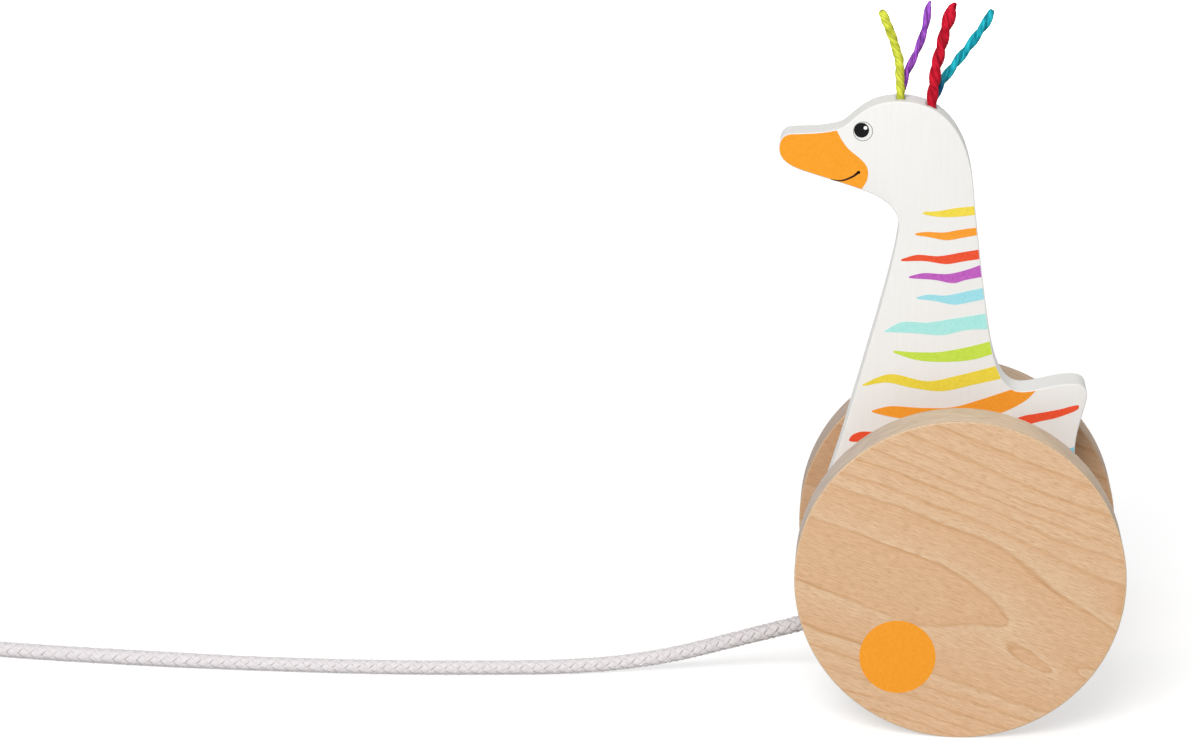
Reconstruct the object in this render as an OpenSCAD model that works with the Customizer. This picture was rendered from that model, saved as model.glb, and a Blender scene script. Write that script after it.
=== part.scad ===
// Pull-along goose: a flat painted wooden goose that swings on the axle of two large wooden wheels,
// with tufts of yarn for hair and a braided pull cord that is looped round a spool on the axle.
// Millimetres. +Z is up, the goose looks towards -X, and the origin is on the floor under the axle's middle.

/* [Wheels] */
// Diameter of each wheel
wheel_d = 110; // [104:1:130]
// Thickness of each wheel
wheel_t = 18; // [16:0.5:24]
// Gap between the inner faces of the two wheels
wheel_gap = 50; // [48:1:60]
// Rounding of the wheels' edges
wheel_edge_r = 0.5; // [0.3:0.1:2]

/* [Axle] */
// Diameter of the wooden axle
axle_d = 10; // [8:0.5:11]
// Depth of the blind socket that holds the axle in each wheel
socket_depth = 12; // [8:0.5:14]
// Glue gap round a piece that is fixed in its hole
glue_gap = 0.05; // [0.02:0.01:0.1]
// Running gap round the axle in the pieces that turn on it
running_gap = 0.05; // [0.02:0.01:0.1]
// Play at each end of the goose, the spacer and the spool along the axle
end_play = 0.25; // [0.2:0.05:0.5]

/* [Goose] */
// Thickness of the board that the goose is cut from
goose_t = 15; // [12:0.5:18]
// Height of the top of the head above the axle
head_top = 155; // [140:1:170]
// How far the top of the head lies in front of the axle
head_front = 23; // [18:1:28]
// Length of the beak and face, from the top of the head to the tip
beak_reach = 40; // [34:1:46]
// How far the tail reaches behind the axle
tail_reach = 42; // [38:1:46]
// Height of the tail above the axle
tail_top = 59.5; // [55:0.5:64]
// How far the breast reaches in front of the axle
breast_reach = 49; // [46:1:51]
// How far the rump reaches behind the axle
rump_reach = 44; // [42:1:49]
// How far the belly hangs below the axle
belly_drop = 46.5; // [46:0.5:50]

/* [Counterweight] */
// Diameter of the steel bar that keeps the goose upright
weight_d = 27; // [20:0.5:28]
// Length of the steel bar
weight_len = 46; // [30:1:47]
// How far the bar's middle lies below the axle
weight_drop = 29; // [28.5:0.5:29.5]
// How far the bar's middle lies behind the axle
weight_back = 3.3; // [0:0.1:6]
// Bevel on the bar's ends
weight_bevel = 1; // [0.4:0.1:2]

/* [Spacer and spool] */
// Diameter of the front spacer and of the cord spool's flanges
spool_d = 26; // [22:0.5:27]
// Diameter of the bottom of the spool's groove
groove_d = 15.5; // [14:0.5:17]
// Width of the spool's groove
groove_w = 6; // [5.6:0.1:8]
// Rounding of the edges of the spacer and the spool
spool_edge = 0.8; // [0.4:0.1:1.5]

/* [Hair] */
// Depth of the holes that hold the hair, below the top of the head
hair_hole_depth = 12; // [10:0.5:16]
// Place of the front pair of hair holes behind the top of the head
front_hair_x = 0.3; // [0:0.1:2]
// Place of the rear pair of hair holes behind the top of the head
rear_hair_x = 10.5; // [9:0.1:12]
// Thickness of the yellow yarn
yellow_d = 2.7; // [2:0.1:3.2]
// Thickness of the purple yarn
purple_d = 2.2; // [1.6:0.1:2.7]
// Thickness of the red yarn
red_d = 3.4; // [2.4:0.1:4]
// Thickness of the blue yarn
blue_d = 2.6; // [1.8:0.1:3.1]
// Gap round a yarn in its hole
hair_gap = 0.15; // [0.1:0.05:0.3]
// Wood left between the two holes of a pair
hair_wall = 0.8; // [0.6:0.1:1.2]

/* [Pull cord] */
// Thickness of the pull cord
cord_d = 5; // [4:0.1:5.2]
// Angle at which the cord leaves the axle, below the level
cord_angle = 38; // [34:1:42]
// Gap between the cord and the bottom of the spool's groove
eye_gap = 0.3; // [0.2:0.05:0.6]
// Distance from the axle to the near end of the whipping
whipping_start = 22; // [20:0.5:24]
// Length of the whipping that closes the cord's eye
whipping_len = 10; // [8:0.5:12]
// Thickness of the whipping's thread
thread_d = 0.6; // [0.4:0.1:1]
// Radius of the coil's outer turn
coil_r = 33; // [31:0.5:36]
// Step from one turn of the coil to the next
coil_pitch = 5.8; // [5.7:0.1:6.4]
// Full turns of the coil before the end runs in to the knot
coil_turns = 2.1; // [1.6:0.1:2.2]
// Thickness of the tape that ties the coil
tie_t = 0.7; // [0.5:0.1:1]
// Width of the tape that ties the coil
tie_w = 4; // [3:0.5:6]
// Gap between the tape and the cord
tie_gap = 0.35; // [0.3:0.05:0.5]
// Diameter of the knot at the cord's end
knot_d = 13; // [11:0.5:14]
// Length of the knot along the cord
knot_len = 12; // [10:0.5:14]
// Length of the cord's cut end beyond the knot
stub_len = 6; // [4:0.5:8]

/* [Hidden] */
$fn = 96;
cut_over = 1;
axle_z = wheel_d / 2;
axle_len = wheel_gap + 2 * socket_depth;
axle_bevel = 0.8;
spacer_len = (wheel_gap - goose_t) / 2 - 2 * end_play;
spacer_y = goose_t / 2 + end_play + spacer_len / 2;
bore_d = axle_d + 2 * running_gap;
floor_gap = 0.1;

// The goose's outline, measured from the axle, in cubic curves that share their end points
curve_steps = 16;
function curve(a, b, c, d) = [for (i = [0:curve_steps - 1]) let (t = i / curve_steps, s = 1 - t)
    s * s * s * a + 3 * s * s * t * b + 3 * s * t * t * c + t * t * t * d];
function head(x, z) = [x - head_front, head_top + z];
function beak(x, z) = [x - head_front - beak_reach, head_top + z];
function tail(x, z) = [tail_reach + x, tail_top + z];
beak_tip = beak(0, -16.5);
beak_brow = beak(4.5, -11.3);
brow = head(-20, -9.5);
crown = head(0, 0);
nape = head(25.5, -33);
neck_back = tail(-33, 15);
tail_dip = tail(-22, -3);
tail_end = tail(-4.5, 0);
tail_tip = tail(0, -4.5);
tail_root = tail(-3.5, -23.5);
rump = [rump_reach, 9];
belly = [0, -belly_drop];
breast = [-breast_reach, 3];
neck_front = [-breast_reach + 10, 43.5];
throat = head(0.5, -42.5);
chin = head(-10, -31);
jaw = beak(8, -24);
goose_outline = concat(
    curve(beak_tip, beak(0, -13.5), beak(1.5, -11.3), beak_brow),
    curve(beak_brow, beak(10, -11), head(-24.5, -11), brow),
    curve(brow, head(-15.5, -8), head(-12.5, 0), crown),
    curve(crown, head(16.5, 0), head(24.3, -13), nape),
    curve(nape, nape + [1.5, -13], neck_back + [-2, 11.5], neck_back),
    curve(neck_back, neck_back + [2, -11], tail_dip + [-6, 0], tail_dip),
    curve(tail_dip, tail_dip + [5, 0], tail_end - [6.5, 0], tail_end),
    curve(tail_end, tail_end + [3, 0], tail_tip + [0.2, 3], tail_tip),
    curve(tail_tip, tail_tip - [0.3, 4], tail_root + [0, 7], tail_root),
    curve(tail_root, tail_root - [0, 7], rump + [0, 12], rump),
    curve(rump, rump - [0, 26], belly + [25, 0], belly),
    curve(belly, belly - [26, 0], breast - [0, 24], breast),
    curve(breast, breast + [0, 11], neck_front - [2.9, 12], neck_front),
    curve(neck_front, neck_front + [3.2, 13.5], throat - [0.5, 12.5], throat),
    curve(throat, throat + [0, 5.5], chin + [6, -2.2], chin),
    curve(chin, chin + [-7, 2.6], jaw + [7, -2.3], jaw),
    curve(jaw, jaw + [-5, 1.6], beak_tip - [0, 3.5], beak_tip));

// The hair holes, one for each yarn, in two pairs: facing is -1 for a hole near the front face, else 1
hair_bottom = axle_z + head_top - hair_hole_depth;
function hair_hole_d(d) = d + 2 * hair_gap;
function hair_y(facing, d) = facing * (hair_wall + hair_hole_d(d)) / 2;

// Routes of the yarns in front view, from the hole and the top of the head
yellow_route = [[0, -2.5], [0, 0], [-0.1, 3], [-0.3, 5.5], [-0.5, 8], [-0.5, 10.5], [-0.9, 13.5], [-1.7, 16],
    [-2.6, 19], [-3.6, 21.5], [-4.7, 24], [-5.8, 26.7], [-6.9, 29.3]];
purple_route = [[0, -2.5], [0, -0.8], [0.2, 1], [0.7, 4], [1.4, 6.3], [2.1, 8.5], [3.1, 11], [4.2, 13.5],
    [5.3, 16], [6.2, 18.6], [6.9, 21], [7.5, 23.5], [8, 26], [8.3, 28.5], [8.6, 30.5], [9, 32.2]];
red_route = [[0, -4.5], [0, -1.5], [0.3, 1.5], [0.7, 5.5], [1.1, 8.5], [1.6, 12], [2.2, 15], [2.9, 18],
    [3.4, 20.5], [3.9, 23.5], [4.6, 26], [5.4, 28.5], [6, 30.5], [6.6, 32]];
blue_route = [[0, -4.5], [0.05, -3], [0.4, -1.6], [1.4, 1], [2.6, 3.5], [4, 6], [5.6, 8.5], [7.5, 11],
    [9.6, 14], [11.8, 17], [14, 20], [16.1, 23], [17.9, 26], [18.9, 28], [19.4, 29.3]];

// The cord's eye: along is the distance from the axle in the cord's direction, side is square to it
eye_r = groove_d / 2 + eye_gap + cord_d / 2;
eye_y = spacer_y;
eye_open = 50;
eye_step = 20;
leg_gap = 0.5;
leg_side = (cord_d + leg_gap) / 2;
leg_bend = 4.5;
along = [-cos(cord_angle), 0, -sin(cord_angle)];
side = [sin(cord_angle), 0, -cos(cord_angle)];
axle_middle = [0, eye_y, axle_z];
function cord_frame(u, v) = axle_middle + u * along + v * side;
eye_arc = [for (a = [eye_open:eye_step:360 - eye_open]) [eye_r * cos(a), eye_r * sin(a)]];
leg_from = eye_arc[0];
leg_to = [whipping_start - cord_d, leg_side];
leg_tangent = [sin(eye_open), -cos(eye_open)];
leg_curve = curve(leg_to, leg_to - [leg_bend, 0], leg_from + leg_bend * leg_tangent, leg_from);
leg_stride = 4;
leg = [for (i = [0:leg_stride:curve_steps - leg_stride]) leg_curve[i]];
leg_end = [whipping_start, leg_side];
function mirrored(p) = [for (i = [len(p) - 1:-1:0]) [p[i][0], -p[i][1]]];
eye_flat = concat([leg_end], leg, eye_arc, mirrored(leg), [[leg_end[0], -leg_end[1]]]);
eye_route = [for (p = eye_flat) cord_frame(p[0], p[1])];

// Route of the cord from the whipping down to the floor and along it to the coil
run_start = cord_frame(whipping_start + whipping_len, 0);
lie_z = cord_d / 2 + floor_gap;
coil_z = lie_z + tie_t + tie_gap;
coil_lead = [-373, 16, coil_z];
coil_middle = coil_lead - [cord_d, coil_r, 0];
run_route = concat([run_start, run_start + cord_d * along], [
    [-38, 16, 26.2], [-47, 16, 21.8], [-56, 16, 18.8], [-66, 16, 15.9], [-76, 16, 13], [-86, 16, 10.1],
    [-96, 15.8, 7.4], [-106, 15.4, 5.3], [-118, 14, 3.7], [-130, 12.4, 2.9], [-142, 10.8, lie_z],
    [-156, 9.2, lie_z], [-170, 8, lie_z], [-188, 6.6, lie_z], [-208, 6, lie_z], [-230, 6, lie_z],
    [-250, 6.5, lie_z], [-271, 7.4, lie_z], [-290, 8.8, lie_z], [-310, 10.6, lie_z], [-328, 12.5, lie_z],
    [-344, 14.3, lie_z + 0.2], [-357, 15.6, coil_z - 0.2], [-367, 16, coil_z], coil_lead]);

// The coil: a flat spiral whose end turns in to the knot, which lies in the middle
loop_rings = 24;
end_rings = 8;
end_bend = 2.1;
end_r = end_bend * cord_d;
end_sweep = 100;
knot_z = knot_d / 2 + floor_gap;
function around(a) = [cos(a), sin(a), 0];
function ease(t) = t * t * (3 - 2 * t);
function unit(v) = v / norm(v);
spiral_rings = round(coil_turns * loop_rings);
spiral = [for (i = [0:spiral_rings]) let (u = coil_turns * i / spiral_rings)
    coil_middle + (coil_r - coil_pitch * u) * around(90 + 360 * u)];
end_angle = 90 + 360 * coil_turns;
end_hub = coil_middle + (coil_r - coil_pitch * coil_turns - end_r) * around(end_angle);
end_arc = [for (i = [1:end_rings]) let (e = i / end_rings)
    end_hub + end_r * around(end_angle + end_sweep * e) + [0, 0, (knot_z - coil_z) * ease(e)]];
knot_angle = end_angle + end_sweep + 90;
knot_start = end_arc[end_rings - 1] + cord_d * around(knot_angle);
coil_route = concat([coil_lead], spiral, end_arc, [knot_start]);
least_gap = min([for (i = [0:len(coil_route) - 1], k = [i + loop_rings / 2:len(coil_route) - 1])
    norm(coil_route[i] - coil_route[k])]) - cord_d;
echo(least_gap_between_turns_of_the_coil = least_gap);

// A tube with square ends, swept along a route
cord_sides = 10;
coil_sides = 6;
yarn_sides = 8;
function way(p, i) = unit(p[min(i + 1, len(p) - 1)] - p[max(i - 1, 0)]);
function ring(c, t, up, d, n) = let (s = unit(cross(t, up)), w = cross(s, t))
    [for (k = [0:n - 1]) c + d / 2 * (cos(360 * k / n) * s + sin(360 * k / n) * w)];
module tube(p, d, n, up) {
    last = (len(p) - 1) * n;
    rings = [for (i = [0:len(p) - 1]) each ring(p[i], way(p, i), up, d, n)];
    walls = [for (i = [0:len(p) - 2], k = [0:n - 1]) let (a = i * n + k, b = i * n + (k + 1) % n)
        each [[a, b, b + n], [a, b + n, a + n]]];
    ends = [for (k = [1:n - 2]) each [[0, k + 1, k], [last, last + k, last + k + 1]]];
    polyhedron(points = rings, faces = concat(walls, ends));
}

// Half of a turned profile with rounded rims, from the axis out
edge_steps = 4;
function rim(r, h, e) = concat(
    [for (i = [0:edge_steps]) let (a = 90 * i / edge_steps) [r - e + e * sin(a), -h / 2 + e - e * cos(a)]],
    [for (i = [0:edge_steps]) let (a = 90 * i / edge_steps) [r - e + e * cos(a), h / 2 - e + e * sin(a)]]);
module turned(r, h, e) {
    rotate([90, 0, 0]) rotate_extrude() polygon(concat([[0, -h / 2]], rim(r, h, e), [[0, h / 2]]));
}
module across(d, len) {
    rotate([90, 0, 0]) cylinder(d = d, h = len, center = true);
}
module slot(w, h) {
    square([w - h, h], center = true);
    for (x = [-1, 1]) translate([x * (w - h) / 2, 0]) circle(d = h);
}

module hair_hole(x, facing, d) {
    translate([x - head_front, hair_y(facing, d), head_top - hair_hole_depth])
        cylinder(d = hair_hole_d(d), h = hair_hole_depth + cut_over);
}

module goose_body() {
    color("whitesmoke") translate([0, 0, axle_z]) difference() {
        rotate([90, 0, 0]) linear_extrude(goose_t, center = true) polygon(goose_outline);
        across(bore_d, goose_t + 2 * cut_over);
        translate([weight_back, 0, -weight_drop]) across(weight_d + 2 * glue_gap, goose_t + 2 * cut_over);
        hair_hole(front_hair_x, -1, yellow_d);
        hair_hole(front_hair_x, 1, purple_d);
        hair_hole(rear_hair_x, -1, red_d);
        hair_hole(rear_hair_x, 1, blue_d);
    }
}

module counterweight() {
    color("silver") translate([weight_back, 0, axle_z - weight_drop])
        turned(weight_d / 2, weight_len, weight_bevel);
}

module yarn(route, x, facing, d) {
    bottom = [x - head_front, hair_y(facing, d), hair_bottom];
    top = bottom + [0, 0, hair_hole_depth];
    tube(concat([bottom, bottom + [0, 0, d]], [for (p = route) top + [p[0], 0, p[1]]]), d, yarn_sides,
        [0, 1, 0]);
}

module hair_yellow() {
    color("yellowgreen") yarn(yellow_route, front_hair_x, -1, yellow_d);
}

module hair_purple() {
    color("darkorchid") yarn(purple_route, front_hair_x, 1, purple_d);
}

module hair_red() {
    color("crimson") yarn(red_route, rear_hair_x, -1, red_d);
}

module hair_blue() {
    color("darkturquoise") yarn(blue_route, rear_hair_x, 1, blue_d);
}

module axle() {
    color("burlywood") translate([0, 0, axle_z]) turned(axle_d / 2, axle_len, axle_bevel);
}

// A wheel on one side of the goose, with its socket on the side towards the goose
module wheel(facing) {
    y = facing * (wheel_gap / 2 + wheel_t / 2);
    socket_y = facing * (wheel_gap / 2 + socket_depth / 2 - cut_over / 2);
    color("tan") translate([0, 0, axle_z]) difference() {
        translate([0, y, 0]) turned(wheel_d / 2, wheel_t, wheel_edge_r);
        translate([0, socket_y, 0]) across(axle_d + 2 * glue_gap, socket_depth + cut_over);
    }
}

module front_wheel() {
    wheel(-1);
}

module rear_wheel() {
    wheel(1);
}

module front_spacer() {
    color("burlywood") translate([0, -spacer_y, axle_z]) difference() {
        turned(spool_d / 2, spacer_len, spool_edge);
        across(bore_d, spacer_len + 2 * cut_over);
    }
}

module cord_spool() {
    color("burlywood") translate([0, spacer_y, axle_z]) difference() {
        turned(spool_d / 2, spacer_len, spool_edge);
        across(bore_d, spacer_len + 2 * cut_over);
        difference() {
            across(spool_d + 2 * cut_over, groove_w);
            across(groove_d, groove_w + 2 * cut_over);
        }
    }
}

module pull_cord_eye() {
    color("gainsboro") tube(eye_route, cord_d, cord_sides, [0, 1, 0]);
}

module pull_cord_whipping() {
    w = 2 * leg_side + cord_d + 2 * thread_d;
    h = cord_d + 2 * thread_d;
    color("linen") translate(cord_frame(whipping_start, 0)) rotate([0, -90 - cord_angle, 0])
        linear_extrude(whipping_len) slot(w, h);
}

module pull_cord_run() {
    color("gainsboro") tube(run_route, cord_d, cord_sides, [0, 0, 1]);
}

module pull_cord_coil() {
    color("gainsboro") tube(coil_route, cord_d, coil_sides, [0, 0, 1]);
}

// The tape round two turns, at the front of the coil
module coil_tie() {
    w = coil_pitch + cord_d + 2 * tie_gap;
    h = cord_d + 2 * tie_gap;
    color("ivory") translate(coil_middle - [0, coil_r - coil_pitch, 0]) rotate([90, 0, 90])
        linear_extrude(tie_w, center = true) difference() {
            slot(w + 2 * tie_t, h + 2 * tie_t);
            slot(w, h);
        }
}

knot_steps = 12;
module pull_cord_knot() {
    bulge = [for (i = [1:knot_steps - 1]) let (a = 180 * i / knot_steps)
        [cord_d / 2 + (knot_d - cord_d) / 2 * sin(a), knot_len * (1 - cos(a)) / 2]];
    profile = concat([[0, 0], [cord_d / 2, 0]], bulge,
        [[cord_d / 2, knot_len], [cord_d / 2, knot_len + stub_len], [0, knot_len + stub_len]]);
    color("gainsboro") translate(knot_start) rotate([0, 90, knot_angle])
        rotate_extrude() polygon(profile);
}

goose_body();
counterweight();
hair_yellow();
hair_purple();
hair_red();
hair_blue();
axle();
front_wheel();
rear_wheel();
front_spacer();
cord_spool();
pull_cord_eye();
pull_cord_whipping();
pull_cord_run();
pull_cord_coil();
coil_tie();
pull_cord_knot();
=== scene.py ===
import math
import random

import bmesh
import bpy
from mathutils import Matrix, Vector


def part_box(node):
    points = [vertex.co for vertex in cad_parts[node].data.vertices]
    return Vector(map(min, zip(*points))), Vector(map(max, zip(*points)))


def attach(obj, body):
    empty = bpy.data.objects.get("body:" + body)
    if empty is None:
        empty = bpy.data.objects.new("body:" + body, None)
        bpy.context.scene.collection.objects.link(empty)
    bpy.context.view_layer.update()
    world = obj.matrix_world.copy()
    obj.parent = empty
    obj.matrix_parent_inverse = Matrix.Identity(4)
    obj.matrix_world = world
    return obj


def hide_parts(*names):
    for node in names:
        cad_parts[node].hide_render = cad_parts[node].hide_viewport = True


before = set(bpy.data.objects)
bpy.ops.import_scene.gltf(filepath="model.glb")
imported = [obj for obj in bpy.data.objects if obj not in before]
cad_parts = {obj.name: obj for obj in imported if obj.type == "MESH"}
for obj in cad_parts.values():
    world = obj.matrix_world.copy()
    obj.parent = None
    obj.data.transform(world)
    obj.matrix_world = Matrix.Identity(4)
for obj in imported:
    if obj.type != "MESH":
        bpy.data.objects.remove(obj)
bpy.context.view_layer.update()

# Axle: a straight beech dowel, cut to length and chamfered at both ends.
# It is glued into a blind socket in each wheel, so that both wheels turn as one,
# and it stays bare and a little rough from sanding, because no paint would last in the bores.
MM = 0.001
weld, sharp_bend, flat_limit = 0.001 * MM, math.radians(40), 0.995
axle_low, axle_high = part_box("axle")
axle_centre = (axle_low + axle_high) / 2
axle_radius = (axle_high.z - axle_low.z) / 2
axle_chamfer, axle_sides = 0.8 * MM, 64


def shade(code):
    """The linear colour of an sRGB hex value."""
    parts = [int(code[i:i + 2], 16) / 255 for i in (1, 3, 5)]
    linear = [c / 12.92 if c <= 0.04045 else ((c + 0.055) / 1.055) ** 2.4 for c in parts]
    return (*linear, 1.0)


def join(tree, node, inputs):
    """Gives each input a link from a socket or from a node's first output, a hex colour, or a plain value."""
    for socket, value in inputs.items():
        if isinstance(value, bpy.types.Node):
            value = value.outputs[0]
        if isinstance(value, bpy.types.NodeSocket):
            tree.links.new(value, node.inputs[socket])
        else:
            node.inputs[socket].default_value = shade(value) if isinstance(value, str) else value


def add(tree, kind, inputs=None, stops=(), **settings):
    """Adds a shader node with its settings, its ramp's stops (hex colours or grey levels) and its inputs."""
    made = tree.nodes.new("ShaderNode" + kind)
    for name, value in settings.items():
        setattr(made, name, value)
    for i, (place, colour) in enumerate(stops):
        elements = made.color_ramp.elements
        element = elements[i] if i < len(elements) else elements.new(place)
        element.position = place
        element.color = shade(colour) if isinstance(colour, str) else (colour, colour, colour, 1)
    join(tree, made, inputs or {})
    return made


def new_finish(name, along=False):
    """An empty material, its tree, its main shader, and the place on the piece, or along its own strands."""
    finish = bpy.data.materials.new(name)
    finish.use_nodes = True
    tree = finish.node_tree
    place = add(tree, "UVMap", uv_map="along") if along else add(tree, "TexCoord").outputs["Object"]
    return finish, tree, tree.nodes["Principled BSDF"], place


def streaks(tree, place, per_unit, detail, roughness=0.5, turn=(0, 0, 0)):
    """A pattern of streaks: noise with so many spots per unit of the place along each axis."""
    stretched = add(tree, "Mapping", {"Vector": place, "Rotation": turn, "Scale": per_unit})
    return add(tree, "TexNoise", {"Vector": stretched, "Scale": 1.0, "Detail": detail,
                                  "Roughness": roughness})


def smooth_round(bm):
    """Shades the curved faces smooth and leaves the flat ends flat."""
    for face in bm.faces:
        face.smooth = abs(face.normal.y) < flat_limit


def round_over(bm, edges, rounding):
    """Rounds edges over."""
    bmesh.ops.bevel(bm, geom=edges, offset=rounding, offset_type="OFFSET", segments=4, profile=0.5,
                    affect="EDGES", material=-1)


def turned(profile, sides, rounding, centre=axle_centre):
    """A bmesh of a profile of (radius, place along y) turned round a centre, with its corners rounded."""
    bm = bmesh.new()
    points = [bm.verts.new((centre.x, y, centre.z + r)) for r, y in profile]
    edges = [bm.edges.new(pair) for pair in zip(points, points[1:])]
    bmesh.ops.spin(bm, geom=points + edges, cent=centre, axis=(0, 1, 0), dvec=(0, 0, 0),
                   angle=math.tau, steps=sides, use_merge=True, use_duplicate=False)
    bmesh.ops.remove_doubles(bm, verts=bm.verts, dist=weld)
    bmesh.ops.recalc_face_normals(bm, faces=bm.faces)
    round_over(bm, [e for e in bm.edges if e.calc_face_angle(0) > sharp_bend], rounding)
    smooth_round(bm)
    return bm


def turned_bar(low, high, sides, chamfer):
    """A bmesh of a round bar along y between two corners of its box, chamfered at both ends."""
    centre, radius = (low + high) / 2, (high.z - low.z) / 2
    return turned([(0, low.y), (radius, low.y), (radius, high.y), (0, high.y)], sides, chamfer, centre)


def mesh_of(name, bm, finishes):
    """A mesh of a bmesh, which it uses up, with its materials."""
    mesh = bpy.data.meshes.new(name)
    bm.to_mesh(mesh)
    bm.free()
    for finish in finishes:
        mesh.materials.append(finish)
    return mesh


def placed(name, data):
    """An object of a mesh, a lamp or a camera, put into the scene."""
    made = bpy.data.objects.new(name, data)
    bpy.context.scene.collection.objects.link(made)
    return made


def piece(name, bm, finishes, body, slot, *nodes):
    """An object of a bmesh, in place, that rides on a body and stands for CAD nodes."""
    made = placed(name, mesh_of(name, bm, finishes))
    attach(made, body)
    if nodes:
        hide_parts(*nodes)
    return made


def turned_wood(name, light, dark, streak_mm):
    """Straight-grained wood, turned and sanded: it shows fine dark streaks along the axle and hardly shines.
    Real fibres are about 0.1 mm wide, and the streaks are drawn coarser, so that they show."""
    finish, tree, shader, place = new_finish(name)
    across = 1 / (streak_mm * MM)
    fibres = streaks(tree, place, (across, 0.06 / MM, across), detail=5.0)
    colour = add(tree, "ValToRGB", {"Fac": fibres}, stops=[(0.3, dark), (0.65, light)])
    bump = add(tree, "Bump", {"Height": fibres, "Distance": 0.05 * MM, "Strength": 0.6})
    join(tree, shader, {"Base Color": colour, "Normal": bump, "Roughness": 0.6, "IOR": 1.5})
    return finish


axle_wood = turned_wood("bare_beech_dowel", "#D8B68C", "#BC9468", 0.7)
piece("axle_dowel", turned_bar(axle_low, axle_high, axle_sides, axle_chamfer), [axle_wood],
      "wheelset", "axle_wood", "axle")

# Front spacer and cord spool: two turned birch sleeves that keep the goose midway between the wheels.
# They are drilled to run freely on the axle, and the spool has a groove where the pull cord's eye lies,
# so that neither the goose nor the wheels wind the cord up.
sleeve_wood = turned_wood("turned_birch_sleeve", "#DDBD95", "#C49D72", 0.9)
running_gap = 0.05 * MM
bore_radius = axle_radius + running_gap
sleeve_rounding, sleeve_sides = 0.7 * MM, 96
groove_radius, groove_width = 7.75 * MM, 6 * MM


def sleeve(node, groove):
    """A bmesh of a drilled sleeve that fills a CAD node's box, plain or with a groove round its middle."""
    low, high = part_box(node)
    radius = (high.z - low.z) / 2
    middle = (low.y + high.y) / 2
    outside = [(radius, low.y)]
    if groove:
        for y, r in ((-1, radius), (-1, groove_radius), (1, groove_radius), (1, radius)):
            outside.append((r, middle + y * groove_width / 2))
    outside.append((radius, high.y))
    profile = [(bore_radius, low.y), *outside, (bore_radius, high.y), (bore_radius, low.y)]
    return turned(profile, sleeve_sides, sleeve_rounding)


piece("spacer_sleeve", sleeve("front_spacer", False), [sleeve_wood], "wheelset", "spool_wood", "front_spacer")
piece("spool_sleeve", sleeve("cord_spool", True), [sleeve_wood], "tow", "spool_wood", "cord_spool")

# Goose: a silhouette sawn from a 15 mm board, its edges rounded over and sanded.
# It is sprayed with white lacquer on all sides, which fills the grain and leaves a soft, even skin,
# and it swings on the axle between the spacer and the spool.
board_rounding = 0.5 * MM
level_bend, level_gap, bore_margin = math.radians(0.4), 0.01 * MM, 1 * MM
goose_low, goose_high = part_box("goose_body")
weight_low, weight_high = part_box("counterweight")
weight_centre = (weight_low + weight_high) / 2
weight_radius = (weight_high.z - weight_low.z) / 2

# Sprayed lacquer gives a soft sheen, faint dimples of orange peel, and the ghost of upright grain under it.
# The grain's lines are drawn about 0.6 mm wide, coarser than the real 0.1 mm, so that they show.
lacquer, tree, shader, place = new_finish("white_sprayed_lacquer")
orange_peel = add(tree, "TexNoise", {"Vector": place, "Scale": 0.9 / MM, "Detail": 3.0})
cloudy = streaks(tree, place, (1.8 / MM, 1.8 / MM, 0.07 / MM), detail=4.0)
lacquer_colour = add(tree, "ValToRGB", {"Fac": cloudy}, stops=[(0.3, "#EDECE8"), (0.7, "#F0EFEC")])
lacquer_gloss = add(tree, "MapRange", {"Value": cloudy, "To Min": 0.42, "To Max": 0.54})
lacquer_bump = add(tree, "Bump", {"Height": orange_peel, "Distance": 0.02 * MM, "Strength": 0.35})
join(tree, shader, {"Base Color": lacquer_colour, "Roughness": lacquer_gloss, "Normal": lacquer_bump})

board = bmesh.new()
board.from_mesh(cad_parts["goose_body"].data)
bmesh.ops.remove_doubles(board, verts=board.verts, dist=weld)
bmesh.ops.dissolve_limit(board, angle_limit=level_bend, verts=board.verts, edges=board.edges)


def in_bore(vert):
    """Whether a corner is on the rim of the axle's bore or of the counterweight's."""
    for centre, radius in ((axle_centre, axle_radius), (weight_centre, weight_radius)):
        if math.hypot(vert.co.x - centre.x, vert.co.z - centre.z) < radius + bore_margin:
            return True
    return False


def face_rim(bm, y):
    """The edges of the board's outline on its face at y."""
    flat = [e for e in bm.edges if all(abs(v.co.y - y) < level_gap for v in e.verts)]
    return [e for e in flat if any(abs(f.normal.y) < 0.5 for f in e.link_faces) and not in_bore(e.verts[0])]


def walk(edges):
    """The points of a closed loop of edges in front view, from its lowest edge to the right and round."""
    left = set(edges)
    edge = min(edges, key=lambda e: e.verts[0].co.z + e.verts[1].co.z)
    left.remove(edge)
    line = sorted(edge.verts, key=lambda v: v.co.x)
    while left:
        edge = next((e for e in line[-1].link_edges if e in left), None)
        if edge is None:
            break
        left.remove(edge)
        line.append(edge.other_vert(line[-1]))
    return [Vector((v.co.x, v.co.z)) for v in line[:-1]]


board_outline = walk(face_rim(board, goose_low.y))
board_rims = face_rim(board, goose_low.y) + face_rim(board, goose_high.y)
round_over(board, board_rims, board_rounding)
smooth_round(board)
goose_board = piece("goose_board", board, [lacquer], "goose", "goose_paint", "goose_body")
goose_board.data.set_sharp_from_angle(angle=sharp_bend)

# Painted markings: the beak, the eyes, the smile and the wavy stripes on both faces of the goose.
# Each is one flat coat of screen-printed paint on the lacquer, with a crisp edge that stops short of
# the rounded rim, and a faint mottle where the ink took unevenly.
film_thick, film_sunk = 0.05 * MM, 0.05 * MM
print_margin, print_step = 0.35 * MM, 0.3 * MM


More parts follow.
